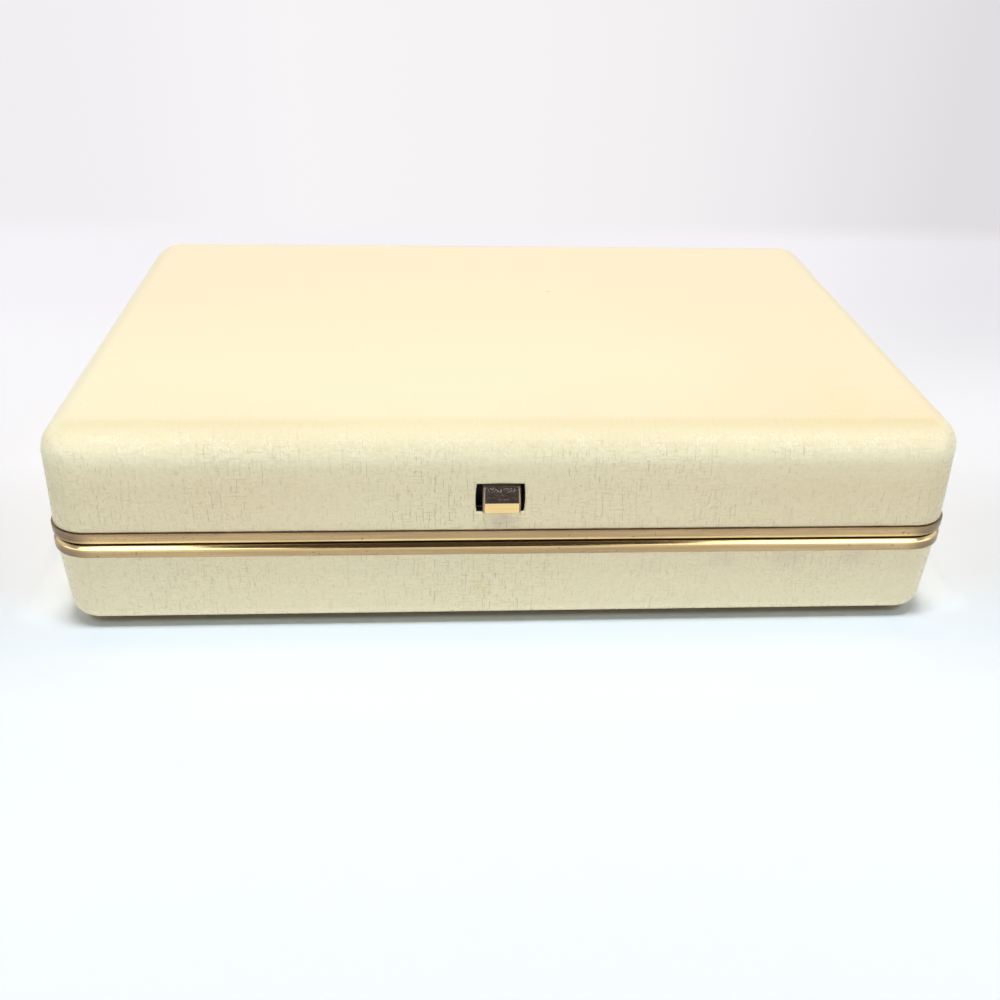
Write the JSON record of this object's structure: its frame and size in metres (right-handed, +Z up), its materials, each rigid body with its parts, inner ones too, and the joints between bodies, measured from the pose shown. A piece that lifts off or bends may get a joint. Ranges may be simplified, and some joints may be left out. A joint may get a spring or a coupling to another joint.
{
  "type": "jewelry case",
  "caption": "Rectangular leatherette jewelry case with gilt metal bands, a sliding front catch, a hinged lid and a tray that rises as the lid opens.",
  "frame": {"origin": "centre of the felt foot's flat underside, midway across the case's width and depth", "axes": "+Z up, the front with its catch faces -Y, the width runs along X"},
  "size_m": [0.2812, 0.1923, 0.0692],
  "materials": {
    "leatherette": "cream leatherette with a fine crackled grain, satin",
    "board": "pressed board, raw",
    "gilt": "gilt brass, polished, lightly tarnished",
    "plated": "brass-plated steel strip",
    "steel": "dark steel",
    "velvet": "wine red velvet",
    "satin": "ivory satin",
    "felt": "brown felt"
  },
  "bodies": {
    "arm_left": {"arm_left": "plated"},
    "base": {"arm_pivot_left": "steel", "arm_pivot_right": "steel", "base_band": "gilt", "base_bracket_left": "plated", "base_bracket_right": "plated", "base_bracket_rivet_front_left": "steel", "base_bracket_rivet_front_right": "steel", "base_bracket_rivet_rear_left": "steel", "base_bracket_rivet_rear_right": "steel", "base_cover": "leatherette", "base_lining": "velvet", "base_shell": "board", "divider_front_left": "velvet", "divider_front_right": "velvet", "divider_long": "velvet", "divider_rear_left": "velvet", "divider_rear_right": "velvet", "foot_felt": "felt", "hinge_leaf_base_left": "gilt", "hinge_leaf_base_right": "gilt", "hinge_pin_left": "steel", "hinge_pin_right": "steel", "ring_roll_1": "velvet", "ring_roll_2": "velvet", "ring_roll_3": "velvet", "ring_roll_4": "velvet", "ring_roll_5": "velvet", "strike": "gilt", "strike_rivet_left": "gilt", "strike_rivet_right": "gilt"},
    "arm_right": {"arm_right": "plated"},
    "lid": {"hinge_leaf_lid_left": "gilt", "hinge_leaf_lid_right": "gilt", "housing_rivet_left": "gilt", "housing_rivet_right": "gilt", "latch_guide_left": "steel", "latch_guide_right": "steel", "latch_housing": "gilt", "latch_spring": "steel", "lid_band": "gilt", "lid_bracket_left": "plated", "lid_bracket_right": "plated", "lid_bracket_rivet_front_left": "steel", "lid_bracket_rivet_front_right": "steel", "lid_bracket_rivet_rear_left": "steel", "lid_bracket_rivet_rear_right": "steel", "lid_cover": "leatherette", "lid_lining": "satin", "lid_pad": "satin", "lid_shell": "board"},
    "catch": {"latch_button": "gilt", "latch_slide": "steel"},
    "tray": {"tray": "velvet", "tray_stud_front_left": "steel", "tray_stud_front_right": "steel", "tray_stud_rear_left": "steel", "tray_stud_rear_right": "steel"}
  },
  "joints": [
    {"name": "lid_hinge", "type": "hinge", "parent": "base", "child": "lid", "pos_m": [0, 0.0951, 0.0316], "axis": [-1, 0, 0], "range_deg": [0, 95]},
    {"name": "tray_pivot", "type": "hinge", "parent": "lid", "child": "tray", "pos_m": [0, 0.0585, 0.0266], "axis": [-1, 0, 0], "range_deg": [-95, 0]},
    {"name": "arm_pivot_left", "type": "hinge", "parent": "base", "child": "arm_left", "pos_m": [-0.1319, 0.02, 0.0306], "axis": [-1, 0, 0], "range_deg": [0, 95]},
    {"name": "arm_pivot_right", "type": "hinge", "parent": "base", "child": "arm_right", "pos_m": [0.1319, 0.02, 0.0306], "axis": [-1, 0, 0], "range_deg": [0, 95]},
    {"name": "catch_slide", "type": "slide", "parent": "lid", "child": "catch", "axis": [-1, 0, 0], "range_m": [0, 0.0016], "stiffness_N_per_m": 400, "springref_m": -0.002, "deforming": ["latch_spring"]}
  ],
  "couplings": [
    {"joint": "tray_pivot", "follows": "lid_hinge", "ratio": -1},
    {"joint": "arm_pivot_left", "follows": "lid_hinge", "ratio": 1},
    {"joint": "arm_pivot_right", "follows": "lid_hinge", "ratio": 1}
  ]
}
